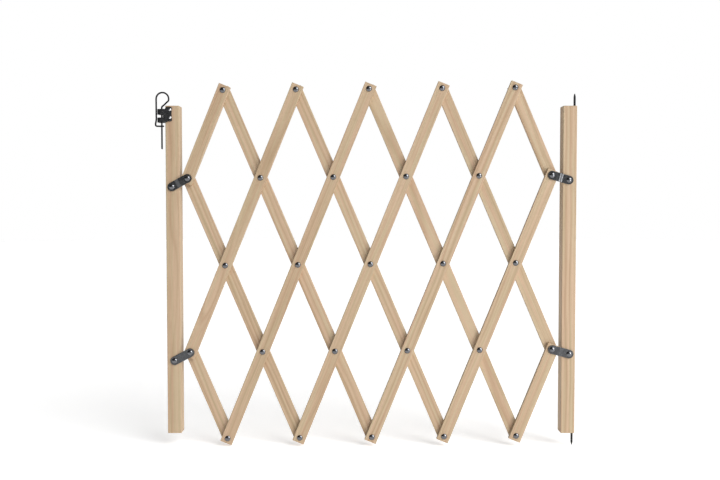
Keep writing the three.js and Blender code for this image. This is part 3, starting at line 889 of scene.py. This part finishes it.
def make_bracket():
    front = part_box("latch_bracket")[0].y
    post_low, post_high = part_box("left_post")
    side, top = post_low.x, post_high.z
    seats = [seat_of(node) for node in ("latch_screw_upper", "latch_screw_lower")]
    holes = [circle(seat.x - side, seat.z - top, LATCH_BORE, 20) for seat in seats]
    plate = plate_mesh("rolled_latch_bracket", plate_outline(), holes, STRAP_THICKNESS,
                       PLATE_EDGE)
    plate.data.transform(Matrix.Translation((side, front + STRAP_THICKNESS / 2, top))
                         @ Matrix.Rotation(math.pi / 2, 4, "X"))
    axis = (side - BARREL_FROM_POST, front + BARREL_RADIUS)
    path = [(side + PLATE_CORNER + LAP - i * LAP_STEP, front + STRAP_THICKNESS / 2)
            for i in range(LAP_STEPS)]
    path += arc(*axis, BARREL_RADIUS - STRAP_THICKNESS / 2, -math.pi / 2,
                -math.pi / 2 - BARREL_ROLL, 56)
    strips = [rolled_strip(f"barrel_{i}", path, STRAP_THICKNESS, top + bottom, top + upper,
                           PLATE_EDGE) for i, (bottom, upper) in enumerate(BARRELS)]
    bracket = join_by_boolean(plate, strips, "UNION")
    one_material(bracket, STRIP)
    smooth(bracket, PLATE_CREASE)
    return [(bracket, NODE_BODY["latch_bracket"], "black_zinc", ["latch_bracket"])]


def wire_corners():
    """The latch wire's course from the stem's tip, in millimetres from the barrels' axis."""
    cx, cz, loop, leave = 1.7, 16.2, 14.3, math.radians(-18)
    tip, bend, leg_bend = -99, -3, -30
    clasp_y, clasp_z, clasp_end, clasp_corner = -11.6, -47.5, 8.2, 5
    points = [(0, 0, tip + (bend - tip) * i / 16) for i in range(16)]
    points.append((0.6, 0, bend + 1))
    end_x, end_z = cx + loop * math.cos(leave), cz + loop * math.sin(leave)
    points += [(end_x * t, 0, bend + (end_z - bend) * t) for t in (0.3, 0.55, 0.8)]
    points += [(x, 0, z) for x, z in arc(cx, cz, loop, leave, math.pi, 14)]
    leg = cx - loop
    points += [(leg, 0, cz + (leg_bend - cz) * i / 5) for i in range(1, 6)]
    # the leg turns forward and then across into the clasp
    points += [(leg + 0.1, clasp_y * 0.35, leg_bend - 7),
               (leg + 0.6, clasp_y * 0.82, clasp_z + clasp_corner),
               (leg + 2, clasp_y * 0.98, clasp_z + 1)]
    points += [(leg + clasp_corner + (clasp_end - leg - clasp_corner) * t, clasp_y, clasp_z)
               for t in (0.25, 0.5, 0.75, 1)]
    return [Vector(p) for p in points]


def smooth_course(points, steps):
    """A centripetal Catmull-Rom course through the points."""
    ends = [2 * points[0] - points[1], *points, 2 * points[-1] - points[-2]]
    course = []
    for p0, p1, p2, p3 in zip(ends, ends[1:], ends[2:], ends[3:]):
        t1 = math.sqrt((p1 - p0).length)
        t2 = t1 + math.sqrt((p2 - p1).length)
        t3 = t2 + math.sqrt((p3 - p2).length)
        for i in range(steps):
            t = t1 + (t2 - t1) * i / steps
            a1 = p0 * ((t1 - t) / t1) + p1 * (t / t1)
            a2 = p1 * ((t2 - t) / (t2 - t1)) + p2 * ((t - t1) / (t2 - t1))
            a3 = p2 * ((t3 - t) / (t3 - t2)) + p3 * ((t - t2) / (t3 - t2))
            b1 = a1 * ((t2 - t) / t2) + a2 * (t / t2)
            b2 = a2 * ((t3 - t) / (t3 - t1)) + a3 * ((t - t1) / (t3 - t1))
            course.append(b1 * ((t2 - t) / (t2 - t1)) + b2 * ((t - t1) / (t2 - t1)))
    return course + [points[-1]]


def make_latch_pin():
    post_low, post_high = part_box("left_post")
    bracket_low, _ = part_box("latch_bracket")
    axis = Vector((post_low.x - BARREL_FROM_POST, bracket_low.y + PIN_FROM_FRONT, post_high.z))
    course = smooth_course([p * MM for p in wire_corners()], WIRE_STEPS)
    # closer steps at both ends carry the rounded tips
    near = [WIRE_RADIUS * (1 - math.cos(math.pi / 2 * i / WIRE_TIP_STEPS))
            for i in range(WIRE_TIP_STEPS + 1)]
    first, last = (course[1] - course[0]).normalized(), (course[-2] - course[-1]).normalized()
    inner = [p for p in course
             if min((p - course[0]).length, (p - course[-1]).length) > WIRE_RADIUS * 1.2]
    course = ([course[0] + first * d for d in near] + inner
              + [course[-1] + last * d for d in reversed(near)])
    mesh = bpy.data.meshes.new("bent_wire_latch_pin")
    chain = [(i, i + 1) for i in range(len(course) - 1)]
    mesh.from_pydata([p + axis for p in course], chain, [])
    pin = run_tree(new_object("bent_wire_latch_pin", mesh), bent_wire_tree())
    smooth(pin)
    return [(pin, NODE_BODY["latch_pin"], "black_wire", ["latch_pin"])]


# ---- build --------------------------------------------------------------------------

pieces = make_slats() + make_posts() + make_rivets() + make_screws()
pieces += make_hinge_pins() + make_straps() + make_bracket() + make_latch_pin()
for piece, body, slot_name, nodes in pieces:
    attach(piece, body)
    if nodes:
        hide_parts(*nodes)


# ---- stage, light and camera --------------------------------------------------------


def studio_floor():
    # Matt white studio floor, lit from all round so that it fades into the background.
    material, tree = new_material("matt_white_floor")
    show(tree, {"Base Color": linear("#f4f4f4"), "Roughness": 0.95,
                "Emission Color": (1, 1, 1, 1), "Emission Strength": FLOOR_GLOW})
    shape = bmesh.new()
    bmesh.ops.create_circle(shape, cap_ends=True, segments=96, radius=FLOOR_RADIUS)
    mesh = bpy.data.meshes.new("studio_floor")
    shape.to_mesh(mesh)
    shape.free()
    mesh.transform(Matrix.Translation((0, 0, cad_low.z - FLOOR_DROP)))
    mesh.materials.append(material)
    new_object("studio_floor", mesh)


def key_light():
    """A broad distant lamp from the upper right, so that it lights the whole gate evenly."""
    light = bpy.data.lights.new("key", "SUN")
    light.energy, light.angle = KEY_STRENGTH, math.radians(KEY_SPREAD)
    obj = new_object("key", light)
    right, up = math.radians(KEY_RIGHT), math.radians(KEY_UP)
    towards = Vector((math.sin(right) * math.cos(up), -math.cos(right) * math.cos(up),
                      math.sin(up)))
    obj.rotation_euler = towards.to_track_quat("Z", "Y").to_euler()


def soft_light(name, place, aim, width, height, power):
    light = bpy.data.lights.new(name, "AREA")
    light.shape, light.size, light.size_y, light.energy = "RECTANGLE", width, height, power
    obj = new_object(name, light)
    obj.location = place
    obj.rotation_euler = (Vector(aim) - Vector(place)).to_track_quat("-Z", "Y").to_euler()


def studio_world():
    """White light from all round, fuller from the right, and a clean white background."""
    world = bpy.data.worlds.new("studio")
    bpy.context.scene.world = world
    world.use_nodes = True
    tree = world.node_tree
    tree.nodes.clear()
    seen = add(tree, "ShaderNodeLightPath").outputs["Is Camera Ray"]
    direction = add(tree, "ShaderNodeTexCoord").outputs["Generated"]
    parts = add(tree, "ShaderNodeSeparateXYZ", (direction,)).outputs
    from_right = add(tree, RANGE, (parts["X"], -0.4, 1.0, 0.09, 0.60))
    from_behind = add(tree, RANGE, (parts["Y"], 0.1, 1.0, 0, 0.4))
    room = add(tree, MATH, (from_right, from_behind), operation="ADD")
    strength = add(tree, MIX, {0: seen, 2: room, 3: 1.0})
    sky = add(tree, "ShaderNodeBackground", {"Color": (1, 1, 1, 1), "Strength": strength})
    add(tree, "ShaderNodeOutputWorld", {"Surface": sky})


def camera():
    data = bpy.data.cameras.new("camera")
    data.lens, data.sensor_width = LENS, SENSOR
    obj = new_object("camera", data)
    obj.location = CAMERA_PLACE
    obj.rotation_euler = (math.radians(90 - CAMERA_DOWN), 0, 0)
    bpy.context.scene.camera = obj


studio_floor()
studio_world()
key_light()
soft_light("side", SIDE_PLACE, (cad_high.x, 0, SIDE_AIM_HEIGHT), SIDE_WIDTH, SIDE_WIDTH,
           SIDE_POWER)
camera()
bpy.context.scene.view_settings.view_transform = "Standard"
